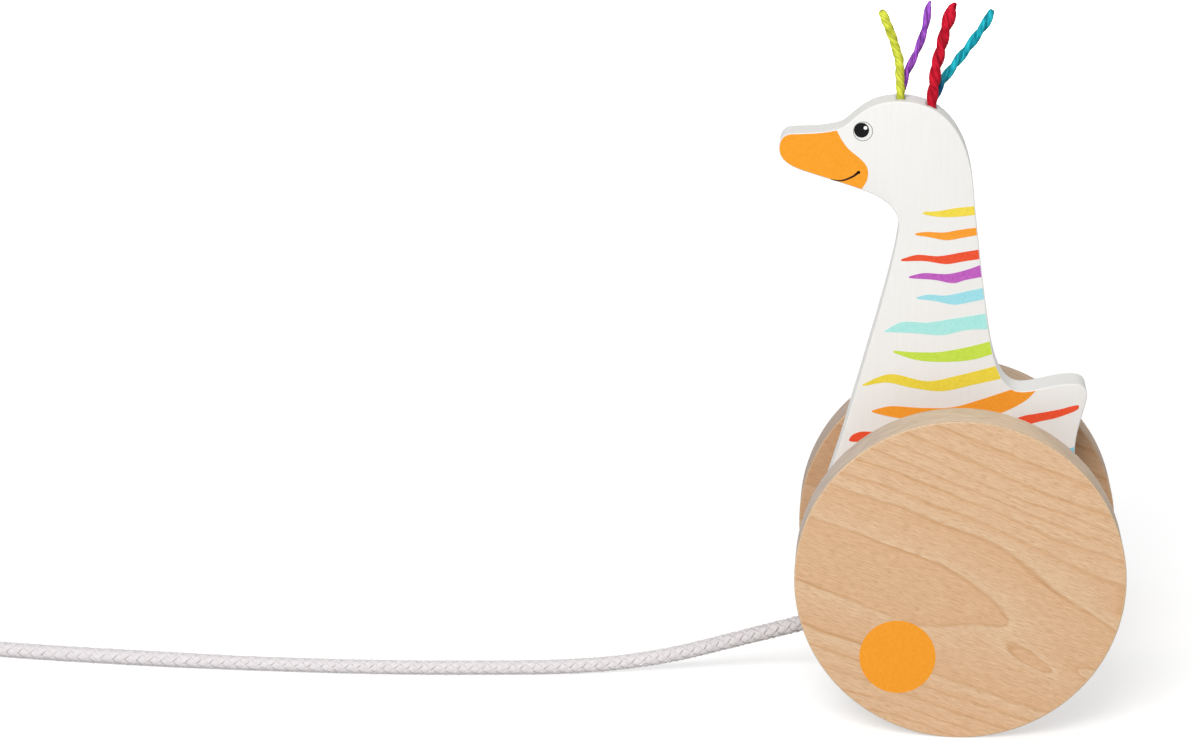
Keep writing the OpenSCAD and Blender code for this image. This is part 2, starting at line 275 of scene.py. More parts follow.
def printed_ink(name, code, deeper):
    """Screen-printed ink: it shows an even, dull colour with a faint mottle and no wet gloss.
    The mottle is drawn about 0.7 mm across, coarser than the real 0.2 mm, so that it shows."""
    finish, tree, shader, place = new_finish(name)
    mottle = add(tree, "TexNoise", {"Vector": place, "Scale": 1.4 / MM, "Detail": 4.0})
    colour = add(tree, "ValToRGB", {"Fac": mottle}, stops=[(0.3, deeper), (0.6, code)])
    bump = add(tree, "Bump", {"Height": mottle, "Distance": 0.01 * MM, "Strength": 0.4})
    join(tree, shader, {"Base Color": colour, "Normal": bump, "Roughness": 0.5, "Specular IOR Level": 0.1})
    return finish


def through(points, steps=8, closed=False):
    """A smooth curve through points, open or closed."""
    if closed:
        ends = [points[-1], *points, points[0], points[1]]
    else:
        ends = [points[0] * 2 - points[1], *points, points[-1] * 2 - points[-2]]
    line = []
    for a, b, c, d in zip(ends, ends[1:], ends[2:], ends[3:]):
        for i in range(steps):
            t = i / steps
            line.append((b * 2 + (c - a) * t + (a * 2 - b * 5 + c * 4 - d) * t ** 2
                         + (b * 3 - a - c * 3 + d) * t ** 3) / 2)
    return line if closed else [*line, points[-1]]


def mm_points(points):
    """Points given in mm, as vectors in metres."""
    return [Vector(p) * MM for p in points]


def inset(line, margin):
    """A closed outline moved inwards by a margin."""
    turn = sum(a.cross(b) for a, b in zip(line, line[1:] + line[:1]))
    moved = []
    for before, point, after in zip(line[-1:] + line[:-1], line, line[1:] + line[:1]):
        way = (after - before).normalized()
        moved.append(point + math.copysign(margin, turn) * Vector((-way.y, way.x)))
    return moved


def add_film(bm, outline, y, out, layer=0):
    """One coat of ink with this outline on a flat face at y that looks out along y, over lower layers."""
    base = y - out * film_sunk
    face = bm.faces.new([bm.verts.new((p.x, base, p.y)) for p in outline])
    grown = bmesh.ops.extrude_face_region(bm, geom=[face])
    top = [v for v in grown["geom"] if isinstance(v, bmesh.types.BMVert)]
    bmesh.ops.translate(bm, verts=top, vec=(0, out * (film_sunk + film_thick * (layer + 1)), 0))
    bmesh.ops.recalc_face_normals(bm, faces=bm.faces)


def goose_print(name, outlines, finish, layer=0):
    """The same coats of ink on both faces of the goose."""
    bm = bmesh.new()
    for outline in outlines:
        add_film(bm, outline, goose_low.y, -1, layer)
        add_film(bm, outline, goose_high.y, 1, layer)
    return piece(name, bm, [finish], "goose", "goose_paint")


print_line = []
print_corners = inset(board_outline, print_margin)
for a, b in zip(print_corners, print_corners[1:] + print_corners[:1]):
    steps = math.ceil((b - a).length / print_step)
    print_line += [a.lerp(b, i / steps) for i in range(steps)]


def nearest(point):
    """The index of the point of the printable outline that is nearest to a point."""
    return min(range(len(print_line)), key=lambda i: (print_line[i] - point).length)


# The beak's paint follows the rim round the tip and ends in a curve under the eye.
beak_back = through(mm_points([(-43.6, 199.6), (-41.8, 196.4), (-39.5, 193.5), (-35.4, 190.1), (-33.3, 187.2),
                               (-33.3, 183.4), (-35.2, 179.9)]))
beak_rim = print_line[nearest(beak_back[0]):nearest(beak_back[-1]) + 1]
goose_print("beak_paint", [beak_back[1:-1] + beak_rim[::-1]],
            printed_ink("orange_ink_beak", "#FBA530", "#F79C26"))

# Stripes: two shades, a tip at the front, an upper edge to the rim at the back, and a lower edge from there.
stripes = {
    "yellow": ("#F5DE52", "#EED545", (-14.7, 172.3),
               [(-9.2, 173.1), (-3.6, 174.2), (2.4, 175)],
               [(2.4, 171.9), (-3.5, 171.2), (-9.2, 171.1)]),
    "orange": ("#FBA43A", "#F79A2E", (-17, 165.1),
               [(-12.7, 165.9), (-7.4, 165.8), (-1.7, 166.9), (3.2, 167.7)],
               [(3.3, 165.1), (-1.7, 164), (-6.6, 163.2), (-12.7, 164.2)]),
    "red": ("#F05A39", "#E84E2E", (-21.5, 156.1),
            [(-15.9, 158), (-8.8, 157.7), (-0.9, 159.2), (4.4, 160)],
            [(4.5, 156.9), (-0.8, 156), (-6.5, 155), (-13.5, 155.9)]),
    "purple": ("#C567C3", "#B655B8", (-18.7, 150.3),
               [(-13.4, 151.8), (-5.9, 151.6), (0.3, 153.1), (4.9, 154.9)],
               [(5.3, 150.8), (0.4, 149.7), (-4, 148.5), (-10.3, 149.5)]),
    "sky_blue": ("#A6E3EC", "#97DCE8", (-16, 143.2),
                 [(-11.9, 144.4), (-6.2, 144.2), (0.5, 145.7), (6.1, 147)],
                 [(6.5, 143.2), (1.9, 142.1), (-3.4, 141.1), (-9.8, 142.2)]),
    "turquoise": ("#B4EEE8", "#A3E8E0", (-26.4, 131.5),
                  [(-20.4, 134.8), (-12.3, 134.7), (-4.3, 136.1), (7, 138.1)],
                  [(7.8, 132.9), (0.8, 132.4), (-7.2, 130.5), (-16.9, 131)]),
    "lime": ("#CDE755", "#BFE044", (-23.5, 124.5),
             [(-16.8, 124.4), (-8.1, 124.6), (1, 126.4), (8.9, 128.6)],
             [(9.7, 124.3), (2.4, 122), (-7, 121.2), (-15.6, 121.7)]),
    "gold": ("#F4DE4C", "#EAD33E", (-33.4, 112.6),
             [(-24, 116.6), (-11.9, 114.4), (-1, 116.7), (11.3, 120.1)],
             [(13.3, 115.8), (3.6, 113.4), (-6.7, 111), (-16.5, 111.9), (-25.3, 113.6)]),
}


def round_tip(tip, upper, lower, blunt=0.45 * MM):
    """The point of a stripe and a shoulder on each side of it, which make it a small round end."""
    way = ((upper + lower) / 2 - tip).normalized()
    across = Vector((-way.y, way.x)) * math.copysign(blunt, way.cross(upper - lower))
    return [tip + way * 2 * blunt - across, tip, tip + way * 2 * blunt + across]


def to_rim(upper, lower):
    """An upper and a lower edge in mm, as points whose ends at the back lie on the printable outline."""
    upper, lower = mm_points(upper), mm_points(lower)
    upper[-1], lower[0] = print_line[nearest(upper[-1])], print_line[nearest(lower[0])]
    return upper, lower


for colour, (code, deeper, tip, upper, lower) in stripes.items():
    upper, lower = to_rim(upper, lower)
    outline = through([*lower, *round_tip(Vector(tip) * MM, upper[0], lower[-1]), *upper])
    goose_print(f"stripe_{colour}", [outline], printed_ink(f"{colour}_ink", code, deeper))

# The wide orange stripe runs along the rim in the dip before the tail.
dip_rim = print_line[nearest(Vector((24.8, 111.3)) * MM):nearest(Vector((16.4, 111.8)) * MM) + 1][::-1]
wide_upper = mm_points([(-23.5, 105.4), (-13.3, 105), (-2.9, 105.5), (6.8, 108.5)])
wide_lower = mm_points([(21.2, 108.1), (14, 104.1), (4, 101), (-8, 100), (-21.5, 101.3)])
wide_tip = round_tip(Vector((-30.2, 103.5)) * MM, wide_upper[0], wide_lower[-1], 0.7 * MM)
wide_orange = dip_rim[:-1] + through([dip_rim[-1], *wide_lower, *wide_tip, *wide_upper, dip_rim[0]])[:-1]
goose_print("stripe_wide_orange", [wide_orange], printed_ink("wide_orange_ink", "#FDA538", "#F99B2C"))

# The wide red stripe has two round ends, one on the breast and one on the tail.
wide_red = through(mm_points([(-37.8, 93.3), (-36, 95.4), (-31.4, 96.3), (-20, 94.8), (-6, 94), (8, 97.6),
                              (19.7, 102.5), (24.7, 103.7), (32.7, 105.4), (38.4, 107), (39.4, 106.4),
                              (38.1, 105), (31.8, 102.4), (24.5, 100.5), (14, 96), (2, 91), (-10, 89.6),
                              (-22, 91), (-32, 92.5), (-36.6, 92.6)]), closed=True)
goose_print("stripe_wide_red", [wide_red], printed_ink("wide_red_ink", "#F45A39", "#EC4F2E"))

# The low blue stripe crosses the belly behind the near wheel and shows beside it under the tail.
low_upper, low_lower = to_rim(
    [(-30, 80.5), (-18, 83.5), (-4, 82.5), (10, 84.5), (26, 88.5), (38.2, 92.4)],
    [(38.6, 87.5), (26, 83.5), (10, 79.8), (-6, 78.2), (-20, 79.3), (-30, 80.5)])
goose_print("stripe_low_blue", [through(low_upper) + through(low_lower)[:-1]],
            printed_ink("low_blue_ink", "#86D3EA", "#79CBE4"))


def spot(centre, radius, corners=64):
    """The outline of a round spot."""
    turns = [math.tau * i / corners for i in range(corners)]
    return [Vector(centre) * MM + Vector((math.cos(a), math.sin(a))) * radius * MM for a in turns]


# The eye is four spots, printed one over another; the smile is a thin line with a round end.
eye_coats = (("eye_line", (-35, 199.7), 3.3, "#A3A19F", "#95938F"),
             ("eye_white", (-35, 199.7), 3.05, "#F0F0EE", "#EAEAE8"),
             ("eye_pupil", (-35.5, 200.1), 2.5, "#131313", "#0D0D0D"),
             ("eye_glint", (-34.2, 200.9), 0.62, "#FCFCFC", "#F4F4F4"))
for layer, (name, centre, radius, code, deeper) in enumerate(eye_coats):
    goose_print(name, [spot(centre, radius)], printed_ink(f"{name}_ink", code, deeper), layer)
smile_line = through(mm_points([(-45.4, 183.3), (-41.8, 183.2), (-38.4, 184.6), (-36.5, 186.2)]))
smile_line += through(mm_points([(-35.9, 185.5), (-38.3, 183.9), (-41.8, 182.7), (-45.4, 183.1)]))
goose_print("smile_paint", [smile_line, spot((-36.2, 185.8), 0.55, 24)],
            printed_ink("dark_brown_ink", "#2A1714", "#20100E"), 1)

# Counterweight: a round bar of bright steel, sawn off, faced on a lathe and pressed through the belly.
# It hangs below the axle and keeps the top-heavy goose upright, so that the goose nods as it rolls.
weight_chamfer, weight_sides = 1.0 * MM, 96

# Drawn steel gives a cool grey shine, dulled in patches by handling, with lathe rings on its faced ends.
# The rings are drawn about 0.7 mm apart, coarser than a lathe's real 0.2 mm, so that they show.
steel, tree, shader, place = new_finish("bright_drawn_steel")
on_bar = add(tree, "Mapping", {"Vector": place, "Location": -weight_centre})
lathe_rings = add(tree, "TexWave", {"Vector": on_bar, "Scale": 0.42 / MM, "Distortion": 0.6},
                  wave_type="RINGS", rings_direction="Y").outputs["Fac"]
grime = add(tree, "TexNoise", {"Vector": place, "Scale": 0.18 / MM, "Detail": 5.0})
steel_colour = add(tree, "ValToRGB", {"Fac": grime}, stops=[(0.3, "#A9AAAC"), (0.7, "#C6C7C9")])
steel_gloss = add(tree, "MapRange", {"Value": grime, "To Min": 0.28, "To Max": 0.45})
steel_bump = add(tree, "Bump", {"Height": lathe_rings, "Distance": 0.02 * MM, "Strength": 0.4})
join(tree, shader, {"Base Color": steel_colour, "Roughness": steel_gloss, "Normal": steel_bump,
                    "Metallic": 1.0})
piece("counterweight_bar", turned_bar(weight_low, weight_high, weight_sides, weight_chamfer), [steel],
      "goose", "steel", "counterweight")

# Hair: four lengths of thick acrylic yarn, each of two or three plies twisted together.
# They stand in two pairs on the crown, each glued into a snug hole of its own, which grips its foot,
# and they stand up stiffly with their cut ends free.
head_top, hole_depth = 210 * MM, 12 * MM
front_hole_x, rear_hole_x = -22.7 * MM, -12.5 * MM
yarn_step, ply_sides, full_size = 0.4 * MM, 12, 0.7
hole_grip = [(-12, 1.0), (0, 1.0), (4, 1.07)]
twist_sway, twist_sway_mm = 0.3, 5
ply_wave, ply_wave_mm = 0.05, 2.3
fibre_slant, foot_fade = (0, 0, math.radians(8)), 4.0


def even_line(points, step):
    """A smooth curve through points, as points about a step apart."""
    fine = through(points, 16)
    marks = [0.0]
    for a, b in zip(fine, fine[1:]):
        marks.append(marks[-1] + (b - a).length)
    count = max(2, round(marks[-1] / step))
    line, at = [], 0
    for i in range(count + 1):
        goal = marks[-1] * i / count
        while at < len(fine) - 2 and marks[at + 1] < goal:
            at += 1
        share = (goal - marks[at]) / (marks[at + 1] - marks[at])
        line.append(fine[at].lerp(fine[at + 1], share))
    return line


def carried(line, side):
    """For each point of a line: its distance, itself, and two directions across, carried without a twist."""
    frames, distance = [], 0.0
    for i, point in enumerate(line):
        way = (line[min(i + 1, len(line) - 1)] - line[max(i - 1, 0)]).normalized()
        side = (side - way * side.dot(way)).normalized()
        distance += (point - line[i - 1]).length if i else 0.0
        frames.append((distance, point, side, way.cross(side)))
    return frames


def add_strand(bm, centres, outs, half_wide, half_thick, swell=None, sides=8, begins=0.0):
    """A strand with an oval section along centres, out being its outward side; swell scales each section.
    Its UV map gives the place along it in mm, from where it begins, and the share of a turn round it."""
    uv = bm.loops.layers.uv.get("along") or bm.loops.layers.uv.new("along")
    turns = [math.tau * k / sides for k in range(sides)]
    rings, marks, distance = [], [], 0.0
    for i, (centre, out) in enumerate(zip(centres, outs)):
        way = (centres[min(i + 1, len(centres) - 1)] - centres[max(i - 1, 0)]).normalized()
        across = way.cross(out).normalized()
        lift = across.cross(way)
        scale = swell[i] if swell else 1.0
        distance += (centre - centres[i - 1]).length if i else 0.0
        marks.append(begins + distance / MM)
        section = [half_wide * math.cos(a) * across + half_thick * math.sin(a) * lift for a in turns]
        rings.append([bm.verts.new(centre + scale * offset) for offset in section])
    for i in range(len(rings) - 1):
        for k in range(sides):
            after = (k + 1) % sides
            face = bm.faces.new((rings[i][k], rings[i + 1][k], rings[i + 1][after], rings[i][after]))
            face.smooth = True
            corners = ((i, k), (i + 1, k), (i + 1, k + 1), (i, k + 1))
            for loop, (ring, turn) in zip(face.loops, corners):
                loop[uv].uv = (marks[ring], turn / sides)
    bm.faces.new(rings[0])
    bm.faces.new(rings[-1][::-1])


def between(stops, at):
    """The value at a place, from (place, value) stops in order, level past the last."""
    for (place, value), (next_place, next_value) in zip(stops, stops[1:]):
        if at <= next_place:
            return value + (next_value - value) * (at - place) / (next_place - place)
    return stops[-1][1]


def twisted_yarn(name, light, dark, base, base_mm):
    """Acrylic yarn: it shows bright, soft plies, streaked by fine fibres, with painted shade in the valleys
    between them, and it is darker towards its foot. The fibres are drawn coarser than the real 0.02 mm."""
    finish, tree, shader, own = new_finish(name, along=True)
    fibres = streaks(tree, own, (0.35, 9.0, 1), detail=4.0, turn=fibre_slant)
    colour = add(tree, "ValToRGB", {"Fac": fibres}, stops=[(0.36, dark), (0.6, light)])
    parts = add(tree, "SeparateXYZ", {"Vector": own})
    # The yarn is darker towards its foot: below base_mm it takes on much of the colour base.
    toward_foot = add(tree, "MapRange", {"Value": parts.outputs["X"], "From Min": base_mm,
                                  "From Max": base_mm + foot_fade, "To Min": 0.85, "To Max": 0.0})
    darker_at_foot = add(tree, "MixRGB", {"Fac": toward_foot, "Color1": colour, "Color2": base})
    # Painted shade: each ply darkens on its sides, towards the valleys between the plies.
    round_ply = add(tree, "Math", {0: parts.outputs["Y"], 1: math.tau}, operation="MULTIPLY")
    outward = add(tree, "Math", {0: round_ply}, operation="SINE")
    painted_valley_shade = add(tree, "MapRange", {"Value": outward, "From Min": -0.1, "From Max": 0.45,
                                    "To Min": 0.62, "To Max": 1.0})
    shaded = add(tree, "VectorMath", {0: darker_at_foot, "Scale": painted_valley_shade}, operation="SCALE")
    bump = add(tree, "Bump", {"Height": fibres, "Distance": 0.25 * MM, "Strength": 0.7})
    join(tree, shader, {"Base Color": shaded, "Normal": bump, "Roughness": 0.7, "Specular IOR Level": 0.1})
    return finish


def yarn(colour, route, x, y, thick, plies, pitch, ends, finish):
    """A yarn of twisted plies along a route from its hole, in mm; ends gives its size near its tip."""
    bottom = Vector((x, y * MM, head_top - hole_depth))
    upper_points = [Vector((x + dx * MM, y * MM, head_top + dz * MM)) for dx, dz in route]
    line = even_line([bottom, *upper_points], yarn_step)
    frames = carried(line, Vector((1, 0, 0)))
    whole = frames[-1][0]
    off_centre, half = (0.17, 0.34) if plies > 2 else (0.16, 0.38)
    bm = bmesh.new()
    draw = random.Random(colour)
    for ply in range(plies):
        wander = draw.uniform(0, math.tau)
        centres, outs, swell = [], [], []
        for distance, point, side, lift in frames:
            to_tip = (whole - distance) / MM
            size = between(ends, to_tip) * between(hole_grip, (distance - hole_depth) / MM)
            sway = twist_sway * math.sin(distance / (twist_sway_mm * MM) + wander)
            turn = math.tau * (ply / plies - distance / (pitch * MM)) + sway
            out = side * math.cos(turn) + lift * math.sin(turn)
            centres.append(point + out * thick * MM * size * off_centre)
            outs.append(out)
            swell.append(size * (1 + ply_wave * math.sin(distance / (ply_wave_mm * MM) + wander)))
        add_strand(bm, centres, outs, thick * MM * half, thick * MM * half, swell, ply_sides)
    made = piece(f"yarn_of_hair_{colour}", bm, [finish], "goose", f"yarn_{colour}", f"hair_{colour}")


yarn("yellow", [(0, -2.5), (0, 0), (-0.1, 3), (-0.3, 5.5), (-0.5, 8), (-0.5, 10.5), (-0.9, 13.5), (-1.7, 16),
                (-2.6, 19), (-3.6, 21.5), (-4.7, 24), (-5.8, 26.7), (-6.9, 29.3)],
     x=front_hole_x, y=-1.9, thick=2.9, plies=3, pitch=11.0, ends=[(0, 0.8), (1, 0.95), (2.5, 1.0)],
     finish=twisted_yarn("yellow_acrylic_yarn", "#EAF058", "#B4BC34", "#98A124", 11.0))
yarn("purple", [(0, -2.5), (0, -0.8), (0.2, 1), (0.7, 4), (1.4, 6.3), (2.1, 8.5), (3.1, 11), (4.2, 13.5),
                (5.3, 16), (6.2, 18.6), (6.9, 21), (7.5, 23.5), (8, 26), (8.3, 28.5), (8.6, 30.5), (9, 32.2)],
     x=front_hole_x, y=1.65, thick=2.35, plies=2, pitch=16.0,
     ends=[(0, 0.45), (2.0, 0.9), (3.5, 1.05), (6, 1.0)],
     finish=twisted_yarn("purple_acrylic_yarn", "#BC68E4", "#7230A2", "#5B2A86", 10.0))
yarn("red", [(0, -4.5), (0, -1.5), (0.3, 1.5), (0.7, 5.5), (1.1, 8.5), (1.6, 12), (2.2, 15), (2.9, 18),
             (3.4, 20.5), (3.9, 23.5), (4.7, 26), (5.6, 28.5), (6.1, 30.5), (7.2, 32.2)],
     x=rear_hole_x, y=-2.25, thick=3.6, plies=2, pitch=13.0,
     ends=[(0, 0.25), (0.8, 0.5), (2, 0.95), (3.6, 1.16), (6, 1.1), (9, 0.96), (16, 1.0)],
     finish=twisted_yarn("red_acrylic_yarn", "#E0203A", "#AA0C20", "#AE0E20", 9.0))
yarn("blue", [(0, -4.5), (0.05, -3), (0.4, -1.6), (1.4, 1), (2.6, 3.5), (4, 6), (5.6, 8.5), (7.5, 11),
              (9.6, 14), (11.8, 17), (14, 20), (16.1, 23), (17.9, 26), (18.9, 28), (19.4, 29.3)],
     x=rear_hole_x, y=1.85, thick=2.85, plies=2, pitch=14.0, ends=[(0, 0.75), (0.7, 0.92), (2, 1.0)],
     finish=twisted_yarn("blue_acrylic_yarn", "#2AC6D6", "#08849A", "#1F4A78", 17.0))

# Wheels: two discs of birch, 110 mm across and 18 mm thick, sawn from boards, turned true and sanded.
# Their faces are clear-varnished and show the board's grain, their rims are end grain and edge grain,
# which soak up more and look greyer, and a blind socket in the inner face takes the glued axle.
wheel_rounding, wheel_sides = 0.5 * MM, 192
face_slope, rim_slope = 0.99, 0.05
glue_gap, socket_depth = 0.05 * MM, 12 * MM
socket_radius = axle_radius + glue_gap
wheel_radius_mm, outer_face_mm = 55, 43
# Painted shade: the rear wheel's colours are multiplied by this tone, for the shade of the goose and near
# wheel.
rear_shade_tone = "#EBE5E2"

# The grain, in mm in the board: rings lie round a heart that the front face passes close to, they close in
# a fork towards the right, and a small eye lies past the fork. A ring ends in a line, strong or faint.
grain_angle = math.radians(-20)
grain_heart = (0.1, 0.0, -43.4)
heart_depth, ring_lean, ring_sway, least_slope = 2.0, -0.22, 4.0, 0.35
fork_start, fork_reach, fork_low, fork_high = -27.7, 68, -20, 40
fork_closing = ((-16, 0.03), (-8, 0.33), (2, 0.33), (9, 0.22), (18, 0.19), (26, 0.06), (32, 0.03))
ring_ends, ring_span = (11.5, 25, 30, 35.5, 40, 44, 49, 55), 66
strong_rings, faint_line = 2, 0.09
line_half, line_soft, line_reach, light_band = 0.6, 0.3, 2.4, 3.5
eye_place, eye_size, eye_angle, eye_rise = (15.5, -43, -8.6), (21, 8, 5.5), math.radians(7), 14.5


def with_painted_rear_shade(tree, place, colour):
    """A wheel's colour, made darker and warmer on the whole rear wheel as painted shade."""
    parts = add(tree, "SeparateXYZ", {"Vector": place})
    rear_shade_share = add(tree, "MapRange", {"Value": parts.outputs["Y"], "From Max": MM})
    return add(tree, "MixRGB", {"Fac": rear_shade_share, "Color1": colour, "Color2": rear_shade_tone},
               blend_type="MULTIPLY")


# Varnished birch gives a pale, warm face with soft growth bands, each closed by a thin dark line, under short
# fibres and pores. These are drawn about 0.3 mm wide, coarser than the real 0.1 mm, so that they show.
wheel_face, tree, shader, place = new_finish("varnished_birch_face")
in_board = add(tree, "Mapping", {"Vector": place, "Location": grain_heart, "Rotation": (0, grain_angle, 0),
                                 "Scale": (1 / MM, 1 / MM, 1 / MM)})
parts = add(tree, "SeparateXYZ", {"Vector": in_board})
sway = streaks(tree, in_board, (0.02, 0.03, 0.045), detail=3.0)
swayed = add(tree, "Math", {0: sway, 1: 2 * ring_sway, 2: -ring_sway}, operation="MULTIPLY_ADD")
level = add(tree, "Math", {0: parts.outputs["Z"], 1: swayed}, operation="ADD")
lean = add(tree, "Math", {0: parts.outputs["Y"], 1: ring_lean, 2: outer_face_mm * ring_lean},
           operation="MULTIPLY_ADD")
across = add(tree, "Math", {0: level, 1: lean}, operation="ADD")
apart = add(tree, "Math", {0: across}, operation="ABSOLUTE")
apart_cubed = add(tree, "Math", {0: apart, 1: 3.0}, operation="POWER")
with_depth = add(tree, "Math", {0: apart_cubed, 1: heart_depth ** 3}, operation="ADD")
from_heart = add(tree, "Math", {0: with_depth, 1: 1 / 3}, operation="POWER")
past_fork = add(tree, "MapRange", {"Value": parts.outputs["X"], "From Min": fork_start,
                                   "From Max": fork_start + fork_reach, "To Max": fork_reach})
fork_side = add(tree, "MapRange", {"Value": across, "From Min": fork_low, "From Max": fork_high})
closing = add(tree, "ValToRGB", {"Fac": fork_side},
              stops=[((mm - fork_low) / (fork_high - fork_low), slope) for mm, slope in fork_closing])
tapered = add(tree, "Math", {0: past_fork, 1: closing, 2: from_heart}, operation="MULTIPLY_ADD")
in_eye = add(tree, "Mapping", {"Vector": in_board, "Location": eye_place, "Rotation": (0, eye_angle, 0),
                               "Scale": eye_size}, vector_type="TEXTURE")
grain_eye = add(tree, "TexGradient", {"Vector": in_eye}, gradient_type="SPHERICAL").outputs["Fac"]
risen = add(tree, "Math", {0: grain_eye, 1: -eye_rise, 2: tapered}, operation="MULTIPLY_ADD")
rings = add(tree, "MapRange", {"Value": risen, "From Max": ring_span})
tone_stops, line_stops = [(0.0, "#E8C49D")], []
for i, end in enumerate(ring_ends):
    after_line, line = ("#EFD2B0", 0.0) if i < strong_rings else ("#EBCAA5", faint_line)
    tone_stops += [((end - line_soft) / ring_span, "#E7C199"), ((end + line_soft) / ring_span, after_line),
                   ((end + light_band) / ring_span, "#EBC9A4")]
    line_stops += [((end - line_reach) / ring_span, 1.0), (end / ring_span, line),
                   ((end + line_reach) / ring_span, 1.0)]
ring_tone = add(tree, "ValToRGB", {"Fac": rings}, stops=tone_stops)
to_line = add(tree, "ValToRGB", {"Fac": rings}, stops=line_stops)
leaning = add(tree, "Math", {0: apart, 1: from_heart}, operation="DIVIDE")
steep = add(tree, "Math", {0: leaning, 1: leaning, 2: least_slope}, operation="MULTIPLY_ADD")
line_mm = add(tree, "Math", {0: to_line, 1: steep}, operation="DIVIDE")
fading = streaks(tree, in_board, (0.04, 0.04, 0.1), detail=2.0)
line_depth = add(tree, "MapRange", {"Value": fading, "From Min": 0.35, "From Max": 0.65,
                                    "To Min": 0.36, "To Max": 0.73})
line_share = add(tree, "MapRange", {"Value": line_mm, "From Max": line_half / line_reach,
                                    "To Min": line_depth, "To Max": 0.0})
ring_colour = add(tree, "MixRGB", {"Fac": line_share, "Color1": ring_tone, "Color2": "#CB955D"})
fibres = streaks(tree, in_board, (0.2, 2.6, 3.2), detail=6.0, roughness=0.7)
fibre_tone = add(tree, "ValToRGB", {"Fac": fibres}, stops=[(0.3, "#E3D3C3"), (0.69, "#FFFFFF")])
fibred = add(tree, "MixRGB", {"Fac": 1.0, "Color1": ring_colour, "Color2": fibre_tone}, blend_type="MULTIPLY")
pores = streaks(tree, in_board, (0.3, 3.0, 4.5), detail=3.0)
pore_share = add(tree, "MapRange", {"Value": pores, "From Min": 0.52, "From Max": 0.68,
                                    "To Min": 0.0, "To Max": 0.75})
pored = add(tree, "MixRGB", {"Fac": pore_share, "Color1": fibred, "Color2": "#C39266"})
wood_bump = add(tree, "Bump", {"Height": fibres, "Distance": 0.04 * MM, "Strength": 0.5})
join(tree, shader, {"Base Color": with_painted_rear_shade(tree, place, pored), "Normal": wood_bump, "Roughness": 0.5})

# A sanded rim gives duller, greyer wood, greyest where the fibres come out end on, with fine lines round it.
# The lines are drawn about 0.8 mm wide, coarser than the real 0.2 mm, so that they show.
wheel_rim, tree, shader, place = new_finish("sanded_birch_rim")
sanding = streaks(tree, place, (0.14 / MM, 1.2 / MM, 0.14 / MM), detail=6.0, roughness=0.65)
side_grain = add(tree, "ValToRGB", {"Fac": sanding}, stops=[(0.33, "#D6B999"), (0.66, "#F5DDC1")])
end_grain = add(tree, "ValToRGB", {"Fac": sanding}, stops=[(0.33, "#B3A191"), (0.66, "#DDCDC0")])
from_axle = add(tree, "VectorMath", {0: place, 1: (0, 0, axle_centre.z)}, operation="SUBTRACT")
wheel_radius = wheel_radius_mm * MM
grain_way = (math.cos(grain_angle) / wheel_radius, 0, math.sin(grain_angle) / wheel_radius)
along_grain = add(tree, "VectorMath", {0: from_axle, 1: grain_way}, operation="DOT_PRODUCT").outputs["Value"]
end_share = add(tree, "Math", {0: along_grain, 1: along_grain}, operation="MULTIPLY")
rim_colour = add(tree, "MixRGB", {"Fac": end_share, "Color1": side_grain, "Color2": end_grain})
rim_bump = add(tree, "Bump", {"Height": sanding, "Distance": 0.03 * MM, "Strength": 0.5})
join(tree, shader, {"Base Color": with_painted_rear_shade(tree, place, rim_colour), "Normal": rim_bump,
                    "Roughness": 0.7})

# The rounded edges give a thin paler line, where sanding broke the corner and the varnish lies thin.
wheel_edge, tree, shader, place = new_finish("rounded_birch_edge")
edge_grain = add(tree, "TexNoise", {"Vector": place, "Scale": 0.7 / MM, "Detail": 4.0})
edge_colour = add(tree, "ValToRGB", {"Fac": edge_grain}, stops=[(0.3, "#D2B08A"), (0.7, "#E4C9A6")])
join(tree, shader, {"Base Color": with_painted_rear_shade(tree, place, edge_colour), "Roughness": 0.55})


def wheel(name, node, outward):
    """A wheel that stands for a CAD node, its socket on the inner side; gives the place of its outer face."""
    low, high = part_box(node)
    outer, inner = (low.y, high.y) if outward < 0 else (high.y, low.y)
    radius = (high.z - low.z) / 2
    socket = inner + outward * socket_depth
    profile = [(0, outer), (radius, outer), (radius, inner),
               (socket_radius, inner), (socket_radius, socket), (0, socket)]
    bm = turned(profile, wheel_sides, wheel_rounding)
    for face in bm.faces:
        slope = abs(face.normal.y)
        face.material_index = 0 if slope > face_slope else 1 if slope < rim_slope else 2
    piece(name, bm, [wheel_face, wheel_rim, wheel_edge], "wheelset", "wheel_wood", node)
    return outer


dot_centre, dot_radius, dot_corners = (-20.1, 28.1), 12.7, 160
dot_ink = printed_ink("orange_ink_dot", "#FBA533", "#F59C29")
for name, node, outward in (("wheel_front", "front_wheel", -1), ("wheel_rear", "rear_wheel", 1)):
    outer = wheel(name, node, outward)
    dot = bmesh.new()
    add_film(dot, spot(dot_centre, dot_radius, dot_corners), outer, outward)
    piece(f"{name}_dot", dot, [dot_ink], "wheelset", "wheel_wood")

# Pull cord: 5 mm of soft braided polyester, eight flat strands plaited one over one round a core.
# One end is an eye round the spool, closed by a whipping of thread; the cord runs down to the floor and along
# it, and the length beyond the view is put away in a flat coil that a tape ties, with a knot at its end.
cord_thick, half_cord, cord_step = 5 * MM, 2.5, 0.8 * MM
cord_angle = math.radians(38)
cord_way = Vector((-math.cos(cord_angle), 0, -math.sin(cord_angle)))
cord_side = Vector((math.sin(cord_angle), 0, -math.cos(cord_angle)))
spool_low, spool_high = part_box("cord_spool")
spool_middle = (spool_low + spool_high) / 2
